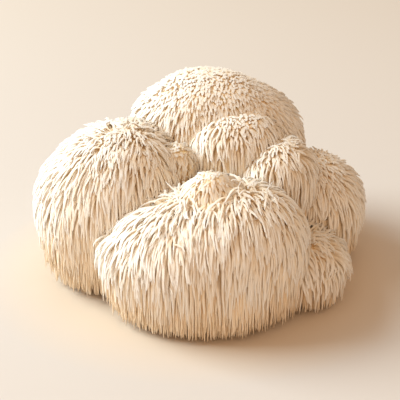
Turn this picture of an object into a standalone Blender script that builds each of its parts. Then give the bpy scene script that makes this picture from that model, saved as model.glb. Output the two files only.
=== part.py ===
"""A lion's mane mushroom: one fruiting body of rounded lobes, each hung with a fringe of spines.

The body grew as one piece, so it is one solid. Each lobe is a sphere drawn out to its own radii. Above
its widest ring it domes up to a crown, which may lean to one side. Below the ring its fringe hangs
nearly straight down, gathered into pleats that start level at the crown and are deepest at the hem.
The lobes are joined into one body and cut flat where it rests. The origin is the middle of the body's
box, on the surface it rests on. +X is to its right, -Y is its front and +Z is up.
"""

import math
from collections import namedtuple

import bmesh
import bpy

BODY_WIDTH = 0.166  # metres, across the widest pair of lobes

# Every measure of a lobe is in percent of BODY_WIDTH. Its centre is the middle of its widest ring, with
# z from the surface that the body rests on. Half width and half depth are the ring's radii along X and Y.
# Rise goes from the ring up to the crown, drop from the ring down to where the fringe would close, and
# lean is how far the crown stands off the ring's centre. Dome is a power that shapes the part above the
# ring: 1 is an ellipsoid, less is fuller and more is peaked.
Lobe = namedtuple("Lobe", "name centre half_width half_depth rise drop lean dome")
LOBES = (
    Lobe("front", (1.0, 14.8, 18.8), 29.5, 21.3, 19.0, 26.0, (9.0, 3.0), 1.1),
    Lobe("knob", (3.9, 18.3, 28.9), 9.1, 8.6, 12.3, 9.0, (-0.5, 0.0), 1.0),
    Lobe("left", (-25.6, 38.0, 21.2), 23.4, 24.0, 25.0, 26.0, (4.0, 1.0), 0.95),
    Lobe("crown", (5.0, 60.5, 31.0), 28.0, 22.5, 24.5, 34.0, (-3.0, -1.5), 1.0),
    Lobe("tier", (10.2, 45.3, 36.6), 14.9, 13.7, 11.6, 19.7, (0.0, 2.0), 0.76),
    Lobe("shoulder", (22.0, 37.5, 30.5), 12.5, 12.5, 11.5, 18.0, (0.5, 1.0), 0.8),
    Lobe("right", (35.0, 49.0, 14.5), 16.0, 17.5, 17.5, 17.0, (-1.0, 0.0), 0.82),
    Lobe("heel", (29.0, 25.0, 9.5), 14.8, 17.0, 10.0, 13.5, (0.0, 0.0), 0.95),
    Lobe("rear_left", (-16.0, 62.0, 18.0), 21.5, 20.0, 19.5, 22.0, (1.0, -1.5), 0.9),
    Lobe("rear_right", (17.0, 65.0, 16.0), 21.0, 18.5, 16.0, 19.0, (0.0, -1.5), 0.9),
    Lobe("foot", (2.0, 43.0, 9.0), 27.0, 21.0, 14.0, 12.0, (0.0, 0.0), 0.95),
    Lobe("fold", (-6.8, 36.5, 35.5), 5.6, 6.0, 6.0, 12.0, (0.0, 0.0), 0.8),
)

COLUMNS = 56  # points round a lobe: every second one is drawn in, which makes half as many pleats
ROWS = 14  # rings of faces from a lobe's crown to its hem
HEM_POWER = 0.66  # what dome is to the part above the ring, this is to the fringe of every lobe
PLEAT_DEPTH = 0.09  # of the lobe's radius, at the hem
PLEAT_START = 0.1  # of the way from crown to hem, where the pleats begin
REST_OVERLAP = 0.01  # metres of margin on the block that cuts the rest flat

FLESH_COLOUR = (0.90, 0.78, 0.62, 1.0)
FLESH_ROUGHNESS = 0.75


def body_middle():
    """The X and Y of the middle of the lobes' common box, in percent of BODY_WIDTH."""
    left = min(lobe.centre[0] - lobe.half_width for lobe in LOBES)
    right = max(lobe.centre[0] + lobe.half_width for lobe in LOBES)
    front = min(lobe.centre[1] - lobe.half_depth for lobe in LOBES)
    back = max(lobe.centre[1] + lobe.half_depth for lobe in LOBES)
    return (left + right) / 2, (front + back) / 2


def clear_scene():
    for obj in list(bpy.data.objects):
        bpy.data.objects.remove(obj, do_unlink=True)


def make_collection(name):
    collection = bpy.data.collections.new(name)
    bpy.context.scene.collection.children.link(collection)
    return collection


def pleat(angle, fall):
    """The share of its radius that a point keeps, from its angle round the lobe and its fall from the crown."""
    grown = max(0.0, (fall - PLEAT_START) / (1 - PLEAT_START))
    drawn_in = 0.5 - 0.5 * math.cos(angle * COLUMNS / 2)
    return 1 - PLEAT_DEPTH * grown * drawn_in


def lobe_mesh(lobe, middle):
    """A sphere drawn out to the lobe's dome and fringe, at its place in the body."""
    bm = bmesh.new()
    bmesh.ops.create_uvsphere(bm, u_segments=COLUMNS, v_segments=ROWS, radius=1.0)
    percent = BODY_WIDTH / 100
    for vert in bm.verts:
        up = max(-1.0, min(1.0, vert.co.z))
        angle = math.atan2(vert.co.y, vert.co.x)
        fall = math.acos(up) / math.pi
        ring = math.sin(fall * math.pi) ** (lobe.dome if up > 0 else HEM_POWER)
        ring *= pleat(angle, fall)
        tilt = max(0.0, up) ** 2
        vert.co.x = ring * math.cos(angle) * lobe.half_width + tilt * lobe.lean[0]
        vert.co.y = ring * math.sin(angle) * lobe.half_depth + tilt * lobe.lean[1]
        vert.co.x += lobe.centre[0] - middle[0]
        vert.co.y += lobe.centre[1] - middle[1]
        vert.co.z = lobe.centre[2] + up * (lobe.rise if up > 0 else lobe.drop)
        vert.co *= percent
    bmesh.ops.recalc_face_normals(bm, faces=bm.faces)
    mesh = bpy.data.meshes.new(lobe.name)
    bm.to_mesh(mesh)
    bm.free()
    return mesh


def add_helper(name, mesh, helpers):
    """A shape that is joined to the body or cut from it, and isn't itself part of the object."""
    helper = bpy.data.objects.new(name, mesh)
    helpers.objects.link(helper)
    helper.hide_render = True
    helper.display_type = "WIRE"
    return helper


def ground_mesh():
    """A block under the resting surface, wide enough to take every hem that dips below it."""
    deepest = max(lobe.drop - lobe.centre[2] for lobe in LOBES) * BODY_WIDTH / 100
    depth = deepest + REST_OVERLAP
    bm = bmesh.new()
    bmesh.ops.create_cube(bm, size=1.0)
    for vert in bm.verts:
        vert.co.x *= 2 * BODY_WIDTH
        vert.co.y *= 2 * BODY_WIDTH
        vert.co.z = (vert.co.z - 0.5) * depth
    mesh = bpy.data.meshes.new("ground")
    bm.to_mesh(mesh)
    bm.free()
    return mesh


def add_boolean(obj, other, operation):
    modifier = obj.modifiers.new(f"{operation.lower()} {other.name}", "BOOLEAN")
    modifier.operation = operation
    modifier.solver = "EXACT"
    modifier.object = other


def flesh_material():
    material = bpy.data.materials.new("mushroom_flesh")
    material.use_nodes = True
    shader = material.node_tree.nodes["Principled BSDF"]
    shader.inputs["Base Color"].default_value = FLESH_COLOUR
    shader.inputs["Roughness"].default_value = FLESH_ROUGHNESS
    shader.inputs["Metallic"].default_value = 0.0
    return material


def make_fruiting_body(mushroom, helpers):
    """The first lobe, joined to all the others and cut flat underneath."""
    middle = body_middle()
    first, *others = LOBES
    mesh = lobe_mesh(first, middle)
    mesh.materials.append(flesh_material())
    body = bpy.data.objects.new("fruiting_body", mesh)
    mushroom.objects.link(body)
    for lobe in others:
        helper = add_helper(f"{lobe.name}_lobe", lobe_mesh(lobe, middle), helpers)
        add_boolean(body, helper, "UNION")
    add_boolean(body, add_helper("ground", ground_mesh(), helpers), "DIFFERENCE")
    return body


def main():
    clear_scene()
    mushroom = make_collection("lions_mane_mushroom")
    helpers = make_collection("lobe_helpers")
    make_fruiting_body(mushroom, helpers)


main()
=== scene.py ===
"""Builds a lion's mane mushroom: the lobed flesh, the spines that hang from it, and a plain stage.

The flesh is one body of joined lobes. Spines are rooted all over it: short nubs on the domes, a shaggy
mane round them and a straight fringe below. Each spine leaves the flesh at a slant, turns down under
its own weight and comes to lie near its lobe's outline. The outlines are the CAD body's own.
"""

import math
from collections import namedtuple

import bpy
import numpy as np
from bpy.props import FloatProperty, FloatVectorProperty, IntProperty, PointerProperty
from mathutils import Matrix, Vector, noise


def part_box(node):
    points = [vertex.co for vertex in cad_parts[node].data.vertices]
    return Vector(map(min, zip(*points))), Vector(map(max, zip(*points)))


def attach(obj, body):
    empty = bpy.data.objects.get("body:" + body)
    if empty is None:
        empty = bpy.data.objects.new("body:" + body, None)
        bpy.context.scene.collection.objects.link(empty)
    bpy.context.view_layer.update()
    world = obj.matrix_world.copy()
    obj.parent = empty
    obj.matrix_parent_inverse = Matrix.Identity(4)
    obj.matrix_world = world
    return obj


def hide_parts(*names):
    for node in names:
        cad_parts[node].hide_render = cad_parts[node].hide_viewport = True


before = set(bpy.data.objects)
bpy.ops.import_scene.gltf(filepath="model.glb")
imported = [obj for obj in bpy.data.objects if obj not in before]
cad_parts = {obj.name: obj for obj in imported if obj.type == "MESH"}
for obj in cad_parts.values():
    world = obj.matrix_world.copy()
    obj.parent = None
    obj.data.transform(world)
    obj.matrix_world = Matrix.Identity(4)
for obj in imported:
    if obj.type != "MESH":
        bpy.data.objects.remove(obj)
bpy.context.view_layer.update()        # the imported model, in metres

bl_info = {
    "name": "Lion's Mane Mushroom",
    "version": (1, 0, 0),
    "blender": (4, 5, 0),
    "location": "View3D > Sidebar > Mushroom",
    "description": "Builds a lion's mane mushroom with its spines, on a plain stage",
    "category": "Object",
}

BODY = "root"
NODE = "fruiting_body"
MM = 0.001

LOW, HIGH = (np.array(corner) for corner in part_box(NODE))
PERCENT = (HIGH[0] - LOW[0]) / 100  # the lobes are measured in percent of the body's width

# A lobe's centre is the middle of its widest ring. Rise goes from the ring up to the crown, drop from
# the ring down, and lean is how far the crown stands off the ring's centre. Dome shapes the part above
# the ring: 1 is an ellipsoid, less is fuller and more is peaked. Top and side are the lengths of its
# spines on the crown and on the sides, in millimetres, and a lobe without spines has 0 for both. Brow
# says how soon down the slope they lengthen: 1 is evenly and less is sooner. Depth is how far inside the
# outline its flesh lies, in millimetres. Ridge is half the length of the line that its spines part from,
# as a share of the half width.
Lobe = namedtuple(
    "Lobe", "name centre half_width half_depth rise drop lean dome top_spine side_spine brow depth ridge")
LOBE_TABLE = (
    ("front", (1.0, 14.8, 18.8), 29.5, 21.3, 19.0, 26.0, (9.0, 3.0), 1.1, 15.0, 23.0, 1.0, 5.0, 0.75),
    ("knob", (3.9, 18.3, 28.9), 9.1, 8.6, 12.3, 9.0, (-0.5, 0.0), 1.0, 1.4, 16.0, 0.8, 1.5, 0.1),
    ("left", (-25.6, 38.0, 21.2), 23.4, 24.0, 25.0, 26.0, (4.0, 1.0), 0.95, 11.0, 22.0, 1.0, 5.0, 0.3),
    ("crown", (5.0, 60.5, 31.0), 28.0, 22.5, 24.5, 34.0, (-3.0, -1.5), 1.0, 3.2, 15.0, 1.5, 4.0, 0.4),
    ("tier", (10.2, 45.3, 36.6), 14.9, 13.7, 11.6, 19.7, (0.0, 2.0), 0.76, 4.0, 22.0, 0.6, 4.5, 0.7),
    ("shoulder", (22.0, 37.5, 30.5), 12.5, 12.5, 11.5, 18.0, (0.5, 1.0), 0.8, 8.0, 22.0, 0.6, 5.5, 0.5),
    ("right", (35.0, 49.0, 14.5), 16.0, 17.5, 17.5, 17.0, (-1.0, 0.0), 0.82, 7.0, 18.0, 1.0, 6.0, 0.3),
    ("heel", (29.0, 25.0, 9.5), 14.8, 17.0, 10.0, 13.5, (0.0, 0.0), 0.95, 12.0, 18.0, 1.0, 6.0, 0.5),
    ("rear_left", (-16.0, 62.0, 18.0), 21.5, 20.0, 19.5, 22.0, (1.0, -1.5), 0.9, 6.0, 20.0, 1.0, 6.5, 0.3),
    ("rear_right", (17.0, 65.0, 16.0), 21.0, 18.5, 16.0, 19.0, (0.0, -1.5), 0.9, 6.0, 20.0, 1.0, 6.5, 0.3),
    ("foot", (2.0, 43.0, 9.0), 27.0, 21.0, 14.0, 12.0, (0.0, 0.0), 0.95, 0.0, 0.0, 1.0, 0.0, 0.0),
    ("fold", (-6.8, 36.5, 35.5), 5.6, 6.0, 6.0, 12.0, (0.0, 0.0), 0.8, 4.0, 8.0, 1.0, 1.0, 0.5),
)
HEM_POWER = 0.66  # what dome is to the part above the ring, this is to the part below it


def body_middle(rows):
    """The middle of the lobes' common box seen from above, in percent, on the surface it rests on."""
    left = min(row.centre[0] - row.half_width for row in rows)
    right = max(row.centre[0] + row.half_width for row in rows)
    front = min(row.centre[1] - row.half_depth for row in rows)
    back = max(row.centre[1] + row.half_depth for row in rows)
    return np.array([left + right, front + back, 0.0]) / 2


def lobes_in_metres():
    """The lobe table in the frame's own metres, with the middle of the body at X 0, Y 0."""
    rows = [Lobe(*row) for row in LOBE_TABLE]
    middle = body_middle(rows)
    return [
        row._replace(
            centre=(np.array(row.centre) - middle) * PERCENT, lean=np.array(row.lean) * PERCENT,
            half_width=row.half_width * PERCENT, half_depth=row.half_depth * PERCENT,
            rise=row.rise * PERCENT, drop=row.drop * PERCENT,
            top_spine=row.top_spine * MM, side_spine=row.side_spine * MM, depth=row.depth * MM)
        for row in rows]


LOBES = lobes_in_metres()
SPINY = [lobe for lobe in LOBES if lobe.side_spine > 0]
BLEND = 1.6 * MM  # how softly one lobe's outline runs into the next
SLOPE_STEP = 0.1 * MM  # how far apart an outline is measured to find which way it faces

# The flesh
CROWN_SINK = 0.2  # of its top spines' length: the most that a crown's flesh lies inside the outline
HEM_CLEARANCE = 8 * MM  # between the floor and the flesh that the lowest spines hang from
FLAT_HEIGHT = 0.5 * MM  # above the floor, where the flesh's roughness starts
SWELLS = 75  # broad swellings of the flesh and the mane to a metre
PITS = 420  # small pits of the flesh to a metre

# The spine that is modelled once. Rings are its heights from root to tip.
SPINE_SIDES = 5
SPINE_RINGS = (0.12, 0.28, 0.45, 0.62, 0.78, 0.9, 0.965)
NUB_RINGS = (0.3, 0.6, 0.82, 0.94)
SPINE_EVEN, NUB_EVEN = 0.5, 0.6  # where its taper to the tip begins
MAP_MARGIN = 0.01  # of the map, left free at its edges
TINT_SPAN = 0.97  # of the map's width, from the darkest spine to the palest
TINT_WIDTH = 0.006  # of the map's width, taken by one spine
ANY_WAY = np.array([0.31, 0.87, 0.39])  # one that no spine grows in
NUB_LAY, MANE_LAY, FRINGE_LAY = 0.9, 0.82, 0.0  # how far a spine's shading follows its lobe's outline

# Where spines are rooted
LOWEST_ROOT = 6.5 * MM  # above the floor
LOWEST_UNDERSIDE = 12 * MM  # above the floor, for flesh that faces straight down

# How spines grow
STEPS = 20  # points of a growing path
RUFFLE = 4.0 * MM  # how unevenly spines part, which hides the parting itself
COMB = 0.75  # how strongly spines lean away from their parting while they turn down
NUB_LENGTH = 8 * MM  # spines shorter than this are nubs
CROWN_LEVEL = 0.85  # a crown is where the outline faces up more than this, as its slope's cosine
MANE_LEVEL = 0.15  # long spines are mane where it faces up more than this, and fringe where it doesn't
LENGTHS = (0.6, 1.2)  # a spine's length, as a share of what is usual where it grows
SHORT_SHARE = 0.2  # of the long spines on a crown
SHORT_LENGTHS = (0.3, 0.7)  # of the length that a short one would have had
CURLS = (180, 420)  # radians that a curly spine turns in a metre
STRAIGHT = 9  # radians that other spines usually turn in a metre, either way
LOWEST_LIFT = -2.5 * MM  # how far inside the outline a spine's tip may come to lie
ARCH_LIFT = 0.8 * MM  # how much higher than others an arched spine lies
CURL_LIFT = 0.6 * MM  # how far outside the outline a curly spine lies
LOCK_SPACING = 5.0 * MM  # between the spines that locks gather round
LEAN_SEED = 1795118338  # start of the patchy pattern that short spines lean in
HEM_STEPS = 3  # of its path that a spine keeps wherever it hangs
HEM_LEVEL = 0.2  # spines end at the hem where the outline faces up less than this
LEAST_OVERHANG = 0.1 * MM  # how far outside the outline the shortest of them end
USUAL_OVERHANG = 1.4 * MM  # how much further the others end, on average
FLOOR_GAPS = (0.35 * MM, 2.6 * MM)  # between the floor and the tips of the spines that would reach it
SHORTEST = 2  # steps of its path that a spine needs to be kept
MOST_SPINES = 2400  # in one piece
DOWN = np.array([0.0, 0.0, -1.0])

# The stage
FLOOR_WIDTH = 8.0
PAINTED_GLOW_REACH = (0.112, 0.102)  # how far along X and Y the floor carries a painted warm glow, standing in for light off the flesh
CAMERA_TARGET = (-1.7 * MM, -3.9 * MM, 40.0 * MM)
LIGHT_HEIGHT = 0.04  # of the point that the lights are aimed at
KEY_PLACE, KEY_SIZE, KEY_COLOUR = (-1.6, 0.3, 1.2), 1.3, (0.80, 0.93, 1.0)
FRONT_PLACE, FRONT_SIZE, FRONT_COLOUR = (0.0, -1.8, 0.95), 0.3, (1.0, 0.58, 0.30)
FILL_COLOUR = (1.0, 0.75, 0.55)


# ---- settings -------------------------------------------------------------------------------------


class FleshSettings(bpy.types.PropertyGroup):
    grain: FloatProperty(
        name="Grain", description="Size of the faces that the flesh is made of",
        default=1.8 * MM, min=0.001, unit="LENGTH")
    lumps: FloatProperty(
        name="Lumps", description="Height of the broad swellings of the flesh",
        default=1.0 * MM, min=0.0, unit="LENGTH")
    pitting: FloatProperty(
        name="Pitting", description="Depth of the small pits in the flesh",
        default=0.35 * MM, min=0.0, unit="LENGTH")


class SpineSettings(bpy.types.PropertyGroup):
    nub_spacing: FloatProperty(
        name="Nub spacing", description="Distance between the short spines on the domes",
        default=0.93 * MM, min=0.0005, unit="LENGTH")
    spacing: FloatProperty(
        name="Spacing", description="Distance between the roots of long spines",
        default=1.18 * MM, min=0.0005, unit="LENGTH")
    radius: FloatProperty(
        name="Radius", description="Half of a spine's thickness",
        default=0.60 * MM, min=0.0001, unit="LENGTH")
    bend: FloatProperty(
        name="Bend length", description="How far a spine grows before it has turned to hang",
        default=3.6 * MM, min=0.001, unit="LENGTH")
    wave: FloatProperty(
        name="Wave", description="How far a shaggy spine strays sideways",
        default=0.35 * MM, min=0.0, unit="LENGTH")
    lumps: FloatProperty(
        name="Lumps", description="How far the mane's surface swells and sinks",
        default=0.7 * MM, min=0.0, unit="LENGTH")
    gather: FloatProperty(
        name="Gather", description="How strongly the tips of shaggy spines draw together into locks",
        default=0.4, min=0.0, max=1.0, subtype="FACTOR")
    arches: FloatProperty(
        name="Arches", description="Share of the shaggy spines near a parting that arch up before they fall",
        default=0.06, min=0.0, max=1.0, subtype="FACTOR")
    curls: FloatProperty(
        name="Curls", description="Share of shaggy spines that curl over",
        default=0.10, min=0.0, max=1.0, subtype="FACTOR")
    seed: IntProperty(name="Seed", description="Start of the random draws", default=7)


class ColourSettings(bpy.types.PropertyGroup):
    # The flesh's warm orange is partly its own colour and partly painted glow, standing in for light through
    # the flesh in the hollows between spines.
    flesh: FloatVectorProperty(
        name="Flesh", description="Colour of the flesh between the spines",
        default=(0.99, 0.76, 0.47), size=3, subtype="COLOR")
    # The root's warm orange is partly the spine's own colour and partly painted glow of light through the
    # flesh in the hollows.
    root: FloatVectorProperty(
        name="Root", description="Colour of a spine at its root",
        default=(0.98, 0.77, 0.49), size=3, subtype="COLOR")
    shaft: FloatVectorProperty(
        name="Shaft", description="Colour of a spine along its length",
        default=(0.96, 0.91, 0.825), size=3, subtype="COLOR")
    # The near-white tip is partly the spine's own colour and partly a painted highlight where light falls on
    # the spines' ends.
    tip: FloatVectorProperty(
        name="Tip", description="Colour of a spine at its tip",
        default=(0.985, 0.97, 0.945), size=3, subtype="COLOR")
    floor: FloatVectorProperty(
        name="Floor", description="Colour of the floor",
        default=(0.663, 0.607, 0.551), size=3, subtype="COLOR")


class StageSettings(bpy.types.PropertyGroup):
    elevation: FloatProperty(
        name="Camera elevation", description="How far the camera looks down",
        default=math.radians(27), subtype="ANGLE")
    distance: FloatProperty(
        name="Camera distance", description="From the camera to the point that it looks at",
        default=0.545, unit="LENGTH")
    lens: FloatProperty(name="Lens", description="Focal length", default=100.0, unit="CAMERA")
    key: FloatProperty(
        name="Key light", description="Power of the soft light from the left", default=66.0, unit="POWER")
    front: FloatProperty(
        name="Front light", description="Power of the warm light from the front", default=4.5,
        unit="POWER")
    fill: FloatProperty(name="Fill", description="Strength of the light from all round", default=0.60)


# ---- the outline of the lobes ---------------------------------------------------------------------


def unit(vectors):
    return vectors / np.maximum(np.linalg.norm(vectors, axis=-1, keepdims=True), 1e-9)


def lobe_share(points, lobe):
    """How far out points lie, as a share of the lobe's outline: 0 at its centre and 1 on the outline."""
    rel = points - lobe.centre
    above = rel[:, 2] > 0
    height = rel[:, 2] / np.where(above, lobe.rise, lobe.drop)
    tilt = np.clip(height, 0, 1) ** 2
    across = (rel[:, 0] - tilt * lobe.lean[0]) / lobe.half_width
    along = (rel[:, 1] - tilt * lobe.lean[1]) / lobe.half_depth
    power = 1 / np.where(above, lobe.dome, HEM_POWER)
    return np.sqrt((across**2 + along**2) ** power + height**2)


def lobe_distance(points, lobe):
    """About how far points lie outside one lobe, and the way straight out of it."""
    share = lobe_share(points, lobe)
    shifted = [lobe_share(points + shift, lobe) for shift in np.eye(3) * SLOPE_STEP]
    slope = (np.stack(shifted, axis=1) - share[:, None]) / SLOPE_STEP
    steepness = np.maximum(np.linalg.norm(slope, axis=1), 1e-6)
    return (share - 1) / steepness, slope / steepness[:, None]


def outline(points):
    """About how far points lie outside the joined lobes, and the way straight out."""
    weights = np.zeros(len(points))
    out = np.zeros((len(points), 3))
    for lobe in LOBES:
        away, way = lobe_distance(points, lobe)
        weight = np.exp(np.clip(-away / BLEND, -60, 60))
        weights += weight
        out += way * weight[:, None]
    return -BLEND * np.log(np.maximum(weights, 1e-30)), unit(out)


def nearest_lobe(points, lobes):
    return np.argmin(np.stack([lobe_distance(points, lobe)[0] for lobe in lobes]), axis=0)


# ---- modelling helpers ----------------------------------------------------------------------------


def deselect_all():
    if bpy.context.mode != "OBJECT":
        bpy.ops.object.mode_set(mode="OBJECT")
    bpy.ops.object.select_all(action="DESELECT")


def coordinates(mesh):
    values = np.empty(len(mesh.vertices) * 3)
    mesh.vertices.foreach_get("co", values)
    return values.reshape(-1, 3)


def vertex_normals(mesh):
    values = np.empty(len(mesh.vertices) * 3, np.float32)
    mesh.vertices.foreach_get("normal", values)
    return values.reshape(-1, 3)


def set_coordinates(mesh, values):
    mesh.vertices.foreach_set("co", np.ascontiguousarray(values, np.float32).ravel())
    mesh.update()


def apply_modifier(obj, kind, **values):
    modifier = obj.modifiers.new(kind.title(), kind)
    for name, value in values.items():
        setattr(modifier, name, value)
    bpy.context.view_layer.objects.active = obj
    bpy.ops.object.modifier_apply(modifier=modifier.name)


def hand_over(obj, material):
    """Gives a finished piece its material and ties it to the frame."""
    obj.data.materials.clear()
    obj.data.materials.append(material)
    obj.data.polygons.foreach_set("use_smooth", [True] * len(obj.data.polygons))
    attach(obj, BODY)
    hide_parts(NODE)


# ---- materials ------------------------------------------------------------------------------------


def new_material(name):
    material = bpy.data.materials.new(name)
    material.use_nodes = True
    nodes = material.node_tree.nodes
    nodes.clear()
    shader = nodes.new("ShaderNodeBsdfPrincipled")
    output = nodes.new("ShaderNodeOutputMaterial")
    material.node_tree.links.new(shader.outputs["BSDF"], output.inputs["Surface"])
    return material, shader


def ramp(tree, factor, stops):
    """A colour that runs through the stops, each a factor and the colour there."""
    node = tree.nodes.new("ShaderNodeValToRGB")
    elements = node.color_ramp.elements
    while len(elements) < len(stops):
        elements.new(0.5)
    for element, (position, colour) in zip(elements, stops):
        element.position = position
        element.color = (*colour, 1.0)
    tree.links.new(factor, node.inputs["Fac"])
    return node.outputs["Color"]


def multiplied(tree, first, second):
    node = tree.nodes.new("ShaderNodeMix")
    node.data_type = "RGBA"
    node.blend_type = "MULTIPLY"
    node.inputs["Factor"].default_value = 1.0
    tree.links.new(first, node.inputs["A"])
    tree.links.new(second, node.inputs["B"])
    return node.outputs["Result"]


def clouds(tree, vector, scale, detail=2.0):
    """A soft random pattern with so many waves to a unit of the vector."""
    noise_node = tree.nodes.new("ShaderNodeTexNoise")
    noise_node.inputs["Scale"].default_value = scale
    noise_node.inputs["Detail"].default_value = detail
    tree.links.new(vector, noise_node.inputs["Vector"])
    return noise_node.outputs["Fac"]


def scaled(tree, vector, scale):
    node = tree.nodes.new("ShaderNodeMapping")
    node.inputs["Scale"].default_value = scale
    tree.links.new(vector, node.inputs["Vector"])
    return node.outputs["Vector"]


def flesh_material(colours):
    """Matt flesh in paler and darker patches, with fine pits."""
    material, shader = new_material("flesh")
    tree = material.node_tree
    place = tree.nodes.new("ShaderNodeTexCoord").outputs["Object"]
    flesh = np.array(colours.flesh)
    # The warm orange is partly the flesh's own colour and partly painted glow of light through it in the
    # hollows; the patches are random.
    colour = ramp(tree, clouds(tree, place, 90.0, detail=6.0), [
        (0.3, flesh * 0.75), (0.55, flesh), (0.75, np.minimum(flesh * 1.3, 1))])
    tree.links.new(colour, shader.inputs["Base Color"])
    bump = tree.nodes.new("ShaderNodeBump")
    bump.inputs["Strength"].default_value = 0.5
    bump.inputs["Distance"].default_value = 0.4 * MM
    tree.links.new(clouds(tree, place, 700.0, detail=3.0), bump.inputs["Height"])
    tree.links.new(bump.outputs["Normal"], shader.inputs["Normal"])
    shader.inputs["Roughness"].default_value = 0.75
    shader.inputs["Specular IOR Level"].default_value = 0.3
    return material


def spine_material(colours):
    """Along a spine the map's V runs from root to tip, and its U picks the spine's tint, which is partly
    chance and partly painted light.
    """
    material, shader = new_material("spine")
    tree = material.node_tree
    uv = tree.nodes.new("ShaderNodeUVMap")
    uv.uv_map = "OFBake"
    axes = tree.nodes.new("ShaderNodeSeparateXYZ")
    tree.links.new(uv.outputs["UV"], axes.inputs["Vector"])
    # Partly the spine's own colour and partly painted light: the warm orange root is painted glow in the
    # hollows, the near-white tip a painted highlight.
    lengthwise = ramp(tree, axes.outputs["Y"], [
        (0.0, colours.root), (0.65, colours.shaft), (1.0, colours.tip)])
    # Tints run from dark warm to white; the tints picked for spines on the lobes' tops are paler, which is
    # painted light.
    tint = ramp(tree, axes.outputs["X"], [
        (0.0, (0.92, 0.78, 0.59)), (0.35, (0.96, 0.87, 0.745)),
        (0.7, (1.0, 0.985, 0.965)), (1.0, (1.0, 1.0, 1.0))])
    streaks = ramp(tree, clouds(tree, scaled(tree, uv.outputs["UV"], (220.0, 9.0, 1.0)), 1.0), [
        (0.3, (0.97, 0.94, 0.90)), (0.6, (1.0, 1.0, 1.0))])
    colour = multiplied(tree, multiplied(tree, lengthwise, tint), streaks)
    tree.links.new(colour, shader.inputs["Base Color"])
    shader.inputs["Roughness"].default_value = 0.6
    shader.inputs["Specular IOR Level"].default_value = 0.3
    shader.inputs["Sheen Weight"].default_value = 0.2
    shader.inputs["Sheen Roughness"].default_value = 0.5
    shader.inputs["Sheen Tint"].default_value = (1.0, 0.9, 0.78, 1.0)
    return material


def floor_material(colours):
    """Plain matt paper, with painted shade that makes it darker and warmer towards the back, and a painted
    warm glow close to the mushroom.
    """
    material, shader = new_material("floor")
    tree = material.node_tree
    place = tree.nodes.new("ShaderNodeTexCoord").outputs["Object"]
    axes = tree.nodes.new("ShaderNodeSeparateXYZ")
    tree.links.new(place, axes.inputs["Vector"])
    floor = np.array(colours.floor)
    # painted shade: the floor darker and warmer towards the back
    painted_shade_to_back = ramp(tree, axes.outputs["Y"], [(0.0, floor), (0.6, floor * (0.97, 0.93, 0.86))])
    cloud = ramp(tree, clouds(tree, place, 2.0), [(0.3, (0.985, 0.985, 0.985)), (0.7, (1.0, 1.0, 1.0))])
    # painted glow: the floor's colour warmer close to the mushroom, in place of light through its flesh
    nearness = tree.nodes.new("ShaderNodeTexGradient")
    nearness.gradient_type = "SPHERICAL"
    shrunk = scaled(tree, place, (1 / PAINTED_GLOW_REACH[0], 1 / PAINTED_GLOW_REACH[1], 1.0))
    tree.links.new(shrunk, nearness.inputs["Vector"])
    painted_glow = ramp(tree, nearness.outputs["Fac"], [(0.0, (1.0, 1.0, 1.0)), (0.32, (1.13, 1.03, 0.89))])
    colour = multiplied(tree, multiplied(tree, painted_shade_to_back, cloud), painted_glow)
    tree.links.new(colour, shader.inputs["Base Color"])
    shader.inputs["Roughness"].default_value = 0.9
    shader.inputs["Specular IOR Level"].default_value = 0.15
    return material


# ---- the flesh ------------------------------------------------------------------------------------


def flesh_lobe(lobe):
    """A sphere drawn out to a lobe's shape, inside its outline by the depth of the mane."""
    deselect_all()
    bpy.ops.mesh.primitive_uv_sphere_add(segments=64, ring_count=32, radius=1.0)
    obj = bpy.context.object
    sphere = coordinates(obj.data)
    up = np.clip(sphere[:, 2], -1, 1)
    angle = np.arctan2(sphere[:, 1], sphere[:, 0])
    ring = np.sqrt(1 - up**2) ** np.where(up > 0, lobe.dome, HEM_POWER)
    tilt = np.clip(up, 0, 1) ** 2
    side, top, bottom = lobe.depth, min(lobe.depth, CROWN_SINK * lobe.top_spine), lobe.drop
    if lobe.side_spine > 0:
        bottom = min(lobe.drop, lobe.centre[2]) - HEM_CLEARANCE
    shape = np.empty_like(sphere)
    shape[:, 0] = ring * np.cos(angle) * (lobe.half_width - side) + tilt * lobe.lean[0]
    shape[:, 1] = ring * np.sin(angle) * (lobe.half_depth - side) + tilt * lobe.lean[1]
    shape[:, 2] = up * np.where(up > 0, lobe.rise - top, bottom)
    set_coordinates(obj.data, shape + lobe.centre)
    return obj


def make_flesh(settings, colours):
    """The lobes' flesh, joined into one closed body, cut flat underneath and made uneven."""
    parts = [flesh_lobe(lobe) for lobe in LOBES]
    deselect_all()
    for part in parts:
        part.select_set(True)
    flesh = parts[0]
    bpy.context.view_layer.objects.active = flesh
    bpy.ops.object.join()
    flesh.name = flesh.data.name = "flesh"
    apply_modifier(flesh, "REMESH", mode="VOXEL", voxel_size=settings.grain)
    apply_modifier(flesh, "SMOOTH", factor=0.5, iterations=3)
    bpy.ops.object.mode_set(mode="EDIT")
    bpy.ops.mesh.select_all(action="SELECT")
    bpy.ops.mesh.bisect(plane_co=(0, 0, 0), plane_no=(0, 0, 1), use_fill=True, clear_inner=True)
    bpy.ops.mesh.select_all(action="SELECT")
    bpy.ops.mesh.normals_make_consistent(inside=False)
    bpy.ops.object.mode_set(mode="OBJECT")
    roughen(flesh.data, settings.lumps, settings.pitting)
    hand_over(flesh, flesh_material(colours))
    return flesh


def swell(places):
    """How far broad swellings rise at each place, from about -1 to 1."""
    return np.array([noise.noise(Vector(place) * SWELLS) for place in places]) * 1.5


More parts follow.
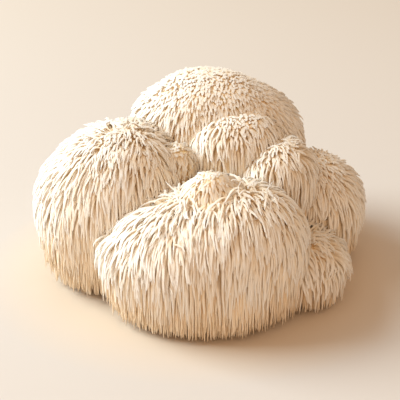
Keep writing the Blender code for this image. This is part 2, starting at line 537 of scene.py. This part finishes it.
def roughen(mesh, lumps, pits):
    """Gives the flesh broad lumps and small pits, leaving the cut underside flat."""
    places = coordinates(mesh)
    rough = np.array([noise.noise(Vector(place) * PITS) for place in places])
    free = places[:, 2] > FLAT_HEIGHT
    places += vertex_normals(mesh) * ((rough * pits + swell(places) * lumps) * free)[:, None]
    set_coordinates(mesh, places)


# ---- one spine, modelled once ---------------------------------------------------------------------

# Ring says which of the heights each point is at. Uvs holds a row for each corner of each face.
SpineShape = namedtuple("SpineShape", "verts ring heights faces uvs")


def spine_profile(height, even):
    """A spine's radius at a height from 0 to 1: a bit less at its root, then even, then down to its tip."""
    taper = np.clip((height - even) / (1 - even), 0, 1)
    return (0.9 + 0.1 * np.minimum(height / 0.3, 1)) * (1 - 0.82 * taper**1.6)


def model_spine(rings, even):
    """One straight spine, from its root at the origin up to its tip at height 1, with a radius of 1."""
    deselect_all()
    bpy.ops.mesh.primitive_cone_add(
        vertices=SPINE_SIDES, radius1=1.0, radius2=0.0, depth=1.0, end_fill_type="NGON", location=(0, 0, 0.5))
    bpy.ops.object.transform_apply(location=True)
    obj = bpy.context.object
    bpy.ops.object.mode_set(mode="EDIT")
    for height in rings:
        bpy.ops.mesh.select_all(action="SELECT")
        bpy.ops.mesh.bisect(plane_co=(0, 0, height), plane_no=(0, 0, 1))
    bpy.ops.object.mode_set(mode="OBJECT")
    mesh = obj.data
    verts = coordinates(mesh)
    heights = np.array([0.0, *rings, 1.0])
    ring = np.argmin(np.abs(verts[:, 2:3] - heights[None, :]), axis=1)
    around = np.linalg.norm(verts[:, :2], axis=1)
    wanted = np.where(ring == len(rings) + 1, 0.0, spine_profile(verts[:, 2], even))
    verts[:, :2] *= (wanted / np.maximum(around, 1e-6))[:, None]
    faces = [tuple(face.vertices) for face in mesh.polygons]
    uvs = [corner_uvs(verts[list(face)], ring[list(face)], heights) for face in faces]
    bpy.data.objects.remove(obj, do_unlink=True)
    bpy.data.meshes.remove(mesh)
    return SpineShape(verts, ring, heights, faces, uvs)


def corner_uvs(corners, ring, heights):
    """A face's corners on the map: U is the share of the way round the spine and V the share along it."""
    turns = np.arctan2(corners[:, 1], corners[:, 0]) / (2 * math.pi) % 1.0
    rise = heights[ring]
    if len(corners) >= SPINE_SIDES:  # the closed root
        return np.stack([turns, 0.01 * (1 + np.sin(turns * 2 * math.pi))], axis=1)
    at_tip = ring == len(heights) - 1
    sides = turns[~at_tip]
    if sides.max() - sides.min() > 0.5:  # a face over the seam
        turns = np.where(turns < 0.5, turns + 1.0, turns)
        sides = turns[~at_tip]
    return np.stack([np.where(at_tip, sides.mean(), turns), rise], axis=1)


def bent_copies(shape, paths, radii):
    """The points of a copy of the spine for every path, bent along it."""
    sides, fronts = frames_along(paths)
    ring = shape.ring
    across = sides[:, ring] * shape.verts[None, :, 0:1] + fronts[:, ring] * shape.verts[None, :, 1:2]
    return paths[:, ring] + across * radii[:, None, None]


def copied_faces(shape, count):
    """The corners of all the copies' faces, and the corner that each face starts at."""
    corners = np.concatenate([np.array(face) for face in shape.faces])
    starts = np.cumsum([0] + [len(face) for face in shape.faces[:-1]])
    copies = np.arange(count)[:, None]
    all_corners = (corners[None, :] + copies * len(shape.verts)).ravel()
    all_starts = (starts[None, :] + copies * len(corners)).ravel()
    return all_corners, all_starts


def copied_map(shape, tints):
    """Where all the copies' corners lie on the map, which is a narrow strip for every spine."""
    uvs = np.concatenate(shape.uvs)
    free = 1 - 2 * MAP_MARGIN
    across = MAP_MARGIN + TINT_SPAN * tints[:, None] + TINT_WIDTH * uvs[None, :, 0]
    along = np.broadcast_to(MAP_MARGIN + free * uvs[None, :, 1], across.shape)
    return np.stack([across, along], axis=-1)


def copy_spines(name, shape, paths, radii, tints, outs, lay, material):
    """One piece that holds a copy of the spine for every path, shaded partly as the lobe's outline is."""
    verts = bent_copies(shape, paths, radii)
    corners, starts = copied_faces(shape, len(paths))
    mesh = bpy.data.meshes.new(name)
    mesh.vertices.add(verts.shape[0] * verts.shape[1])
    mesh.loops.add(len(corners))
    mesh.polygons.add(len(starts))
    mesh.vertices.foreach_set("co", verts.astype(np.float32).ravel())
    mesh.loops.foreach_set("vertex_index", corners.astype(np.int32))
    mesh.polygons.foreach_set("loop_start", starts.astype(np.int32))
    mesh.update(calc_edges=True)
    layer = mesh.uv_layers.new(name="OFBake")
    layer.data.foreach_set("uv", copied_map(shape, tints).astype(np.float32).ravel())
    obj = bpy.data.objects.new(name, mesh)
    bpy.context.scene.collection.objects.link(obj)
    hand_over(obj, material)
    turn_shading(mesh, np.repeat(outs, len(shape.verts), axis=0), lay)
    return obj


def turn_shading(mesh, outs, amount):
    """Turns the spines' shading part of the way to their lobe's outline, as light soaks through them."""
    own = vertex_normals(mesh)
    facing = (own * outs).sum(axis=1, keepdims=True)
    part = amount * np.clip(1 + facing, 0, 1)
    mesh.normals_split_custom_set_from_vertices(unit(own * (1 - part) + outs * part).tolist())


def frames_along(paths):
    """Two directions square to each path at each of its points, which turn along with it and don't twist."""
    ways = unit(np.gradient(paths, axis=1))
    side = unit(np.cross(ways[:, 0], ANY_WAY))
    sides = []
    for way in np.moveaxis(ways, 1, 0):
        side = unit(side - (side * way).sum(axis=1, keepdims=True) * way)
        sides.append(side)
    sides = np.stack(sides, axis=1)
    return sides, np.cross(ways, sides)


# ---- where spines are rooted ----------------------------------------------------------------------

# Lobe is the number in SPINY of the lobe that a root belongs to, out is the way straight out of that
# lobe's outline at the root, and away is how far outside the outline the root lies.
Roots = namedtuple("Roots", "places normals lobe out away")


def scatter(mesh, spacing_of, finest, rng):
    """Points spread over a mesh with random gaps, none nearer to another than the spacing wanted there."""
    mesh.calc_loop_triangles()
    corners = np.empty(len(mesh.loop_triangles) * 3, np.int32)
    mesh.loop_triangles.foreach_get("vertices", corners)
    corners = corners.reshape(-1, 3)
    verts, normals = coordinates(mesh), vertex_normals(mesh)
    triangles = verts[corners]
    firsts, seconds = triangles[:, 1] - triangles[:, 0], triangles[:, 2] - triangles[:, 0]
    areas = np.linalg.norm(np.cross(firsts, seconds), axis=1) / 2
    tries = int(areas.sum() / finest**2 * 3)  # enough to leave no gap wide enough for one more
    chosen = np.searchsorted(np.cumsum(areas) / areas.sum(), rng.random(tries))
    chosen = np.minimum(chosen, len(areas) - 1)
    mix = rng.dirichlet((1, 1, 1), tries)
    places = (verts[corners[chosen]] * mix[:, :, None]).sum(axis=1)
    ways = unit((normals[corners[chosen]] * mix[:, :, None]).sum(axis=1))
    kept = thin_out(places, spacing_of(places))
    return places[kept], ways[kept]


def thin_out(places, spacing):
    """Which places to keep, taken in order, so that each keeps its own spacing from those before it."""
    cell = float(spacing.max())
    boxes = {}
    near = [(i, j, k) for i in (-1, 0, 1) for j in (-1, 0, 1) for k in (-1, 0, 1)]
    kept = []
    for index, ((x, y, z), gap) in enumerate(zip(places.tolist(), spacing.tolist())):
        key = (int(x // cell), int(y // cell), int(z // cell))
        limit = gap * gap
        for i, j, k in near:
            for ox, oy, oz in boxes.get((key[0] + i, key[1] + j, key[2] + k), ()):
                if (x - ox) ** 2 + (y - oy) ** 2 + (z - oz) ** 2 < limit:
                    break
            else:
                continue
            break
        else:
            boxes.setdefault(key, []).append((x, y, z))
            kept.append(index)
    return np.array(kept)


def slope_share(out):
    """0 on the level top of a lobe and 1 on its steep sides."""
    return np.clip((0.95 - out[:, 2]) / 0.6, 0, 1)


def of_lobe(values, numbers):
    """The value of the lobe that each number stands for."""
    return np.array(values)[numbers]


def wanted_lengths(out, numbers):
    """How long a spine grows, from the slope of the outline over its root and from its lobe."""
    top = of_lobe([lobe.top_spine for lobe in SPINY], numbers)
    side = of_lobe([lobe.side_spine for lobe in SPINY], numbers)
    brow = of_lobe([lobe.brow for lobe in SPINY], numbers)
    return top + (side - top) * slope_share(out) ** brow


def find_roots(flesh, settings, rng):
    """Where spines grow from: all over the flesh except under its hem, and closest together on its crowns."""
    def spacing_of(places):
        _, out = outline(places)
        return settings.nub_spacing + (settings.spacing - settings.nub_spacing) * slope_share(out)

    places, ways = scatter(flesh.data, spacing_of, settings.nub_spacing, rng)
    numbers = nearest_lobe(places, SPINY)
    away, out = own_outline(places, numbers)
    height = places[:, 2]
    keep = (height > LOWEST_ROOT) & ~((ways[:, 2] < -0.8) & (height < LOWEST_UNDERSIDE))
    return Roots(places[keep], ways[keep], numbers[keep], out[keep], away[keep])


# ---- how spines grow ------------------------------------------------------------------------------

# How a spine is to grow. Bend is the length over which it turns to hang, lift is how far outside the
# outline its tip comes to lie, and curl is how far it turns by itself in a metre. Shaggy runs from 0 to 1
# on the long spines above the fringe, and fringe from 0 to 1 on the sides.
Habits = namedtuple("Habits", "length bend lift curl curly shaggy fringe")


def own_outline(places, numbers):
    """The distance outside the lobe that each place belongs to, and the way straight out of it."""
    away, out = np.empty(len(places)), np.empty((len(places), 3))
    for number, lobe in enumerate(SPINY):
        mine = numbers == number
        if mine.any():
            away[mine], out[mine] = lobe_distance(places[mine], lobe)
    return away, out


def partings(places, numbers):
    """The nearest point to each place on the line that its lobe's spines part from."""
    crown = of_lobe([lobe.centre + np.array([*lobe.lean, lobe.rise]) for lobe in SPINY], numbers)
    reach = of_lobe([lobe.half_width * lobe.ridge for lobe in SPINY], numbers)
    crown[:, 0] += np.clip(places[:, 0] - crown[:, 0], -reach, reach)
    return crown


def hanging_way(places, out, crown):
    """The way a spine would lie: away from the parting on top, down the slope, and plumb below the ring."""
    way = DOWN + unit((places - crown) * (1, 1, 0)) * COMB
    way = unit(way - out * (way * out).sum(axis=1, keepdims=True))
    plumb = np.clip((0.3 - out[:, 2:3]) / 0.35, 0, 1)
    return way * (1 - plumb) + DOWN * plumb, plumb[:, 0]


def turned(ways, axes, angles):
    """Ways turned about axes, by the usual rotation formula."""
    cos, sin = np.cos(angles)[:, None], np.sin(angles)[:, None]
    along = (axes * ways).sum(axis=1, keepdims=True)
    return ways * cos + np.cross(axes, ways) * sin + axes * along * (1 - cos)


def grow(roots, habits, rng):
    """Every spine's path from its root, as an array of spines by points by coordinates."""
    place = roots.places.copy()
    crown = partings(place, roots.lobe) + rng.normal(0, RUFFLE, place.shape) * (1, 1, 0)
    start, _ = hanging_way(place, roots.out, crown)
    small = np.clip(1 - habits.length / (12 * MM), 0, 1)[:, None]
    patch = np.array([noise.noise_vector(Vector(spot) * 110) for spot in place])
    stray = rng.normal(0, 1, place.shape) * (0.07 + 0.33 * small) + patch * small
    way = unit(roots.normals * 0.8 + start * 0.6 + stray)
    axes = unit(np.cross(way, start) + rng.normal(0, 0.35, place.shape))
    eager = rng.uniform(2.2, 5.0, len(place))  # how early a spine leaves its root's depth for its lift
    stride = habits.length / STEPS
    turn = (1 - np.exp(-stride / habits.bend)) * np.where(habits.curly, 0.25, 1.0)
    path = [place]
    for step in range(STEPS):
        left = 1 - (step + 1) / STEPS
        away, out = own_outline(place, roots.lobe)
        wanted = habits.lift + (roots.away - habits.lift) * left**eager
        hang, plumb = hanging_way(place, out, crown)
        push = np.clip((wanted - away) / (3.5 * MM), -1.0, 1.0) * (1 - plumb)
        target = unit(hang + out * push[:, None])
        way = unit(way + (target - way) * turn[:, None])
        way = turned(way, axes, habits.curl * stride)
        place = place + way * stride[:, None]
        path.append(place)
    return np.stack(path, axis=1)


def wave(paths, size, rng):
    """Sways each path to its own sides, more towards the tip."""
    share = np.linspace(0, 1, paths.shape[1])[None, :, None]
    span = unit(paths[:, -1] - paths[:, 0])
    first = unit(np.cross(span, unit(rng.normal(0, 1, span.shape))))
    second = np.cross(span, first)
    swayed = paths
    for side in (first, second):
        turns = rng.uniform(0.5, 1.5, (len(paths), 1, 1)) * 2 * math.pi
        phase = rng.uniform(0, 2 * math.pi, (len(paths), 1, 1))
        reach = (size * rng.uniform(0.3, 1.0, len(paths)))[:, None, None]
        sway = np.sin(turns * share + phase) - np.sin(phase) * (1 - share)
        swayed = swayed + side[:, None, :] * reach * share * sway
    return swayed


def gather(paths, roots, pull, spacing, rng):
    """Draws the tips of neighbouring spines towards one of them, so that they hang in locks."""
    share = np.linspace(0, 1, paths.shape[1])[None, :, None] ** 1.8
    drawn = paths.copy()
    order = rng.permutation(len(paths))
    guides = order[thin_out(roots.places[order], np.full(len(order), spacing))]
    strength = rng.uniform(0.5, 1.3, len(guides))
    for lobe in range(len(SPINY)):
        mine = np.flatnonzero(roots.lobe == lobe)
        leaders = np.flatnonzero(roots.lobe[guides] == lobe)
        if len(mine) == 0 or len(leaders) == 0:
            continue
        gaps = np.linalg.norm(roots.places[mine][:, None] - roots.places[guides[leaders]][None], axis=2)
        best = leaders[np.argmin(gaps, axis=1)]
        close = np.clip(1.4 - gaps.min(axis=1) / spacing, 0, 1)
        amount = (pull[mine] * strength[best] * close)[:, None, None] * share
        drawn[mine] += (paths[guides[best]] - paths[mine]) * np.clip(amount, 0, 0.9)
    return drawn


def hem_reach(paths, hem):
    """How many steps of each path are used: up to where it hangs out of the joined lobes by its hem."""
    count, size = paths.shape[:2]
    away, out = outline(paths.reshape(-1, 3))
    away, level = away.reshape(count, size), out[:, 2].reshape(count, size)
    past = (away > hem[:, None]) & (level < HEM_LEVEL)
    past[:, :HEM_STEPS] = False
    return np.where(past.any(axis=1), past.argmax(axis=1), size - 1)


def trimmed(paths, reach, heights, rng):
    """The paths' points at a spine's ring heights, each path cut short at its reach and above the floor."""
    rows = np.arange(len(paths))
    floor = rng.uniform(*FLOOR_GAPS, len(paths))
    low = paths[:, :, 2] < floor[:, None]
    first = np.where(low.any(axis=1), low.argmax(axis=1), paths.shape[1] - 1)
    index = np.maximum(first - 1, 0)
    above, below = paths[rows, index, 2], paths[rows, first, 2]
    part = np.clip((above - floor) / np.maximum(above - below, 1e-9), 0, 1)
    reach = np.minimum(reach, np.where(low.any(axis=1), index + part, paths.shape[1] - 1))
    at = reach[:, None] * heights[None, :]
    lower = np.minimum(at.astype(int), paths.shape[1] - 2)
    part = (at - lower)[:, :, None]
    return paths[rows[:, None], lower] * (1 - part) + paths[rows[:, None], lower + 1] * part, reach


def pick_tints_and_painted_light(roots, rng):
    """Each spine's tint from 0, the darkest, to 1: paler on top as painted light, and partly by its patch and
    by chance.
    """
    patch = np.array([noise.noise(Vector(place) * 55) for place in roots.places])
    # painted light: spines on the lobes' tops come out paler, those on the steep sides and underneath darker
    top = np.clip((roots.out[:, 2] + 0.2) / 0.8, 0, 1)
    return np.clip(0.12 + 0.68 * top + patch * 0.25 + rng.normal(0, 0.09, len(patch)), 0, 1)


def choose_habits(roots, settings, rng):
    """How each spine is to grow, by the slope at its root and by chance."""
    count = len(roots.places)
    level = roots.out[:, 2]
    length = wanted_lengths(roots.out, roots.lobe) * rng.uniform(*LENGTHS, count)
    short = (rng.random(count) < SHORT_SHARE) & (level > CROWN_LEVEL) & (length > NUB_LENGTH)
    length = np.where(short, length * rng.uniform(*SHORT_LENGTHS, count), length)
    fringe = np.clip((0.3 - level) / 0.4, 0, 1)
    shaggy = (1 - fringe) * np.clip((length - 7 * MM) / (5 * MM), 0, 1)
    bend = np.minimum(settings.bend * (1.8 - slope_share(roots.out)), 0.45 * length)
    lift = (0.6 - shaggy * rng.exponential(0.9, count) - (1 - shaggy) * rng.uniform(0.0, 1.5, count)) * MM
    lift = np.maximum(lift, LOWEST_LIFT) + settings.lumps * swell(roots.places)
    arched = (rng.random(count) < settings.arches) & (level > 0.6) & (shaggy > 0.5)
    bend = np.where(arched, bend * 1.5, bend)
    lift = np.where(arched, lift + ARCH_LIFT, lift)
    curly = ~arched & (rng.random(count) < settings.curls * (0.3 + 1.7 * (level > 0.75))) & (shaggy > 0.4)
    curl = np.where(curly, rng.uniform(*CURLS, count), rng.normal(0, STRAIGHT, count))
    lift = np.where(curly, CURL_LIFT, lift)
    return Habits(length, bend, lift, curl, curly, shaggy, fringe)


def grow_in_locks(roots, habits, settings, rng):
    """Every spine's path, swayed and drawn together with its neighbours."""
    paths = grow(roots, habits, rng)
    paths = wave(paths, settings.wave * (0.15 + 0.85 * habits.shaggy), rng)
    free = (habits.length > NUB_LENGTH) & ~habits.curly
    pull = settings.gather * (0.3 + 0.7 * habits.shaggy) * free
    return gather(paths, roots, pull, LOCK_SPACING, rng)


def pick_radii(habits, radius, rng):
    """Half of each spine's thickness: nubs are thicker, and fringe and curly spines are thinner."""
    radii = radius * rng.uniform(0.8, 1.15, len(habits.length)) * np.where(habits.curly, 0.7, 1.0)
    return radii * (1 + 0.25 * np.clip(1 - habits.length / NUB_LENGTH, 0, 1) - 0.12 * habits.fringe)


def make_spines(flesh, settings, colours):
    """The spines, in pieces by lobe and by kind: nubs, the shaggy mane, and the fringe under it."""
    material = spine_material(colours)
    rng = np.random.default_rng(settings.seed)
    noise.seed_set(LEAN_SEED)  # without this, noise_vector takes its start from the clock
    roots = find_roots(flesh, settings, rng)
    habits = choose_habits(roots, settings, rng)
    paths = grow_in_locks(roots, habits, settings, rng)
    radii = pick_radii(habits, settings.radius, rng)
    reach = hem_reach(paths, rng.exponential(USUAL_OVERHANG, len(paths)) + LEAST_OVERHANG)
    tints = pick_tints_and_painted_light(roots, rng)
    spine, nub = model_spine(SPINE_RINGS, SPINE_EVEN), model_spine(NUB_RINGS, NUB_EVEN)
    kind = np.where(habits.length < NUB_LENGTH, 0, np.where(roots.out[:, 2] > MANE_LEVEL, 1, 2))
    kinds = (("nubs", nub, NUB_LAY), ("mane", spine, MANE_LAY), ("fringe", spine, FRINGE_LAY))
    for number, lobe in enumerate(SPINY):
        for code, (word, shape, lay) in enumerate(kinds):
            mine = np.flatnonzero((roots.lobe == number) & (kind == code))
            if len(mine) == 0:
                continue
            points, used = trimmed(paths[mine], reach[mine], shape.heights, rng)
            points, mine = points[used > SHORTEST], mine[used > SHORTEST]
            order = np.argsort(points[:, 0, 0], kind="stable")  # so that each piece is one stretch of lobe
            shares = np.array_split(order, max(1, math.ceil(len(order) / MOST_SPINES)))
            for place, share in enumerate(shares):
                name = f"{lobe.name}_{word}" + (f"_{place + 1}" if len(shares) > 1 else "")
                chosen = mine[share]
                _, outs = own_outline(points[share][:, points.shape[1] // 2], roots.lobe[chosen])
                copy_spines(name, shape, points[share], radii[chosen], tints[chosen], outs, lay, material)


# ---- the stage ------------------------------------------------------------------------------------


def aim(obj, target):
    obj.rotation_euler = (target - obj.location).to_track_quat("-Z", "Y").to_euler()


def add_light(name, place, size, power, colour):
    """A square, soft light, aimed at the middle of the body."""
    bpy.ops.object.light_add(type="AREA", location=place)
    light = bpy.context.object
    light.name = name
    light.data.size = size
    light.data.energy = power
    light.data.color = colour
    aim(light, Vector((0, 0, LIGHT_HEIGHT)))


def make_floor(colours):
    bpy.ops.mesh.primitive_plane_add(size=FLOOR_WIDTH, location=(0, 0, 0))
    floor = bpy.context.object
    floor.name = "floor"
    bpy.ops.object.mode_set(mode="EDIT")
    bpy.ops.mesh.subdivide(number_cuts=8)
    bpy.ops.object.mode_set(mode="OBJECT")
    floor.data.materials.append(floor_material(colours))


def make_camera(settings):
    target = Vector(CAMERA_TARGET)
    back = Vector((0, -math.cos(settings.elevation), math.sin(settings.elevation)))
    bpy.ops.object.camera_add(location=target + back * settings.distance)
    camera = bpy.context.object
    camera.data.lens = settings.lens
    camera.data.clip_start = 0.01
    aim(camera, target)
    bpy.context.scene.camera = camera


def make_world(strength):
    world = bpy.data.worlds.new("studio")
    world.use_nodes = True
    background = world.node_tree.nodes["Background"]
    background.inputs["Color"].default_value = (*FILL_COLOUR, 1.0)
    background.inputs["Strength"].default_value = strength
    bpy.context.scene.world = world


def make_stage(settings, colours):
    """A plain floor, a cool light from the left, warm light from the front and all round, and a camera."""
    deselect_all()
    make_floor(colours)
    make_camera(settings)
    add_light("key", KEY_PLACE, KEY_SIZE, settings.key, KEY_COLOUR)
    add_light("front_fill", FRONT_PLACE, FRONT_SIZE, settings.front, FRONT_COLOUR)
    make_world(settings.fill)
    bpy.context.scene.view_settings.view_transform = "Standard"


# ---- operators ------------------------------------------------------------------------------------


class MUSHROOM_OT_flesh(bpy.types.Operator):
    """Make the lobed flesh that the spines grow from"""

    bl_idname = "mushroom.flesh"
    bl_label = "Make Flesh"

    def execute(self, context):
        make_flesh(context.scene.mushroom_flesh, context.scene.mushroom_colours)
        return {"FINISHED"}


class MUSHROOM_OT_spines(bpy.types.Operator):
    """Grow the spines over the flesh"""

    bl_idname = "mushroom.spines"
    bl_label = "Grow Spines"

    def execute(self, context):
        flesh = bpy.data.objects["flesh"]
        make_spines(flesh, context.scene.mushroom_spines, context.scene.mushroom_colours)
        return {"FINISHED"}


class MUSHROOM_OT_stage(bpy.types.Operator):
    """Set the floor, the lights and the camera"""

    bl_idname = "mushroom.stage"
    bl_label = "Set Stage"

    def execute(self, context):
        make_stage(context.scene.mushroom_stage, context.scene.mushroom_colours)
        return {"FINISHED"}


class MUSHROOM_PT_panel(bpy.types.Panel):
    """Lists the mushroom's settings and the steps that build it"""

    bl_label = "Lion's Mane Mushroom"
    bl_idname = "MUSHROOM_PT_panel"
    bl_space_type = "VIEW_3D"
    bl_region_type = "UI"
    bl_category = "Mushroom"

    def draw(self, context):
        for operator, group in STEPS_OF_WORK:
            self.layout.operator(operator)
            settings = getattr(context.scene, group)
            for name in settings.__annotations__:
                self.layout.prop(settings, name)
        for name in ColourSettings.__annotations__:
            self.layout.prop(context.scene.mushroom_colours, name)


STEPS_OF_WORK = (
    ("mushroom.flesh", "mushroom_flesh"),
    ("mushroom.spines", "mushroom_spines"),
    ("mushroom.stage", "mushroom_stage"),
)
SETTINGS = {
    "mushroom_flesh": FleshSettings,
    "mushroom_spines": SpineSettings,
    "mushroom_colours": ColourSettings,
    "mushroom_stage": StageSettings,
}
CLASSES = (*SETTINGS.values(), MUSHROOM_OT_flesh, MUSHROOM_OT_spines, MUSHROOM_OT_stage, MUSHROOM_PT_panel)


def register():
    for cls in CLASSES:
        bpy.utils.register_class(cls)
    for name, cls in SETTINGS.items():
        setattr(bpy.types.Scene, name, PointerProperty(type=cls))


def unregister():
    for name in SETTINGS:
        delattr(bpy.types.Scene, name)
    for cls in reversed(CLASSES):
        bpy.utils.unregister_class(cls)


def main():
    register()
    bpy.ops.mushroom.flesh()
    bpy.ops.mushroom.spines()
    bpy.ops.mushroom.stage()


if __name__ == "__main__":
    main()
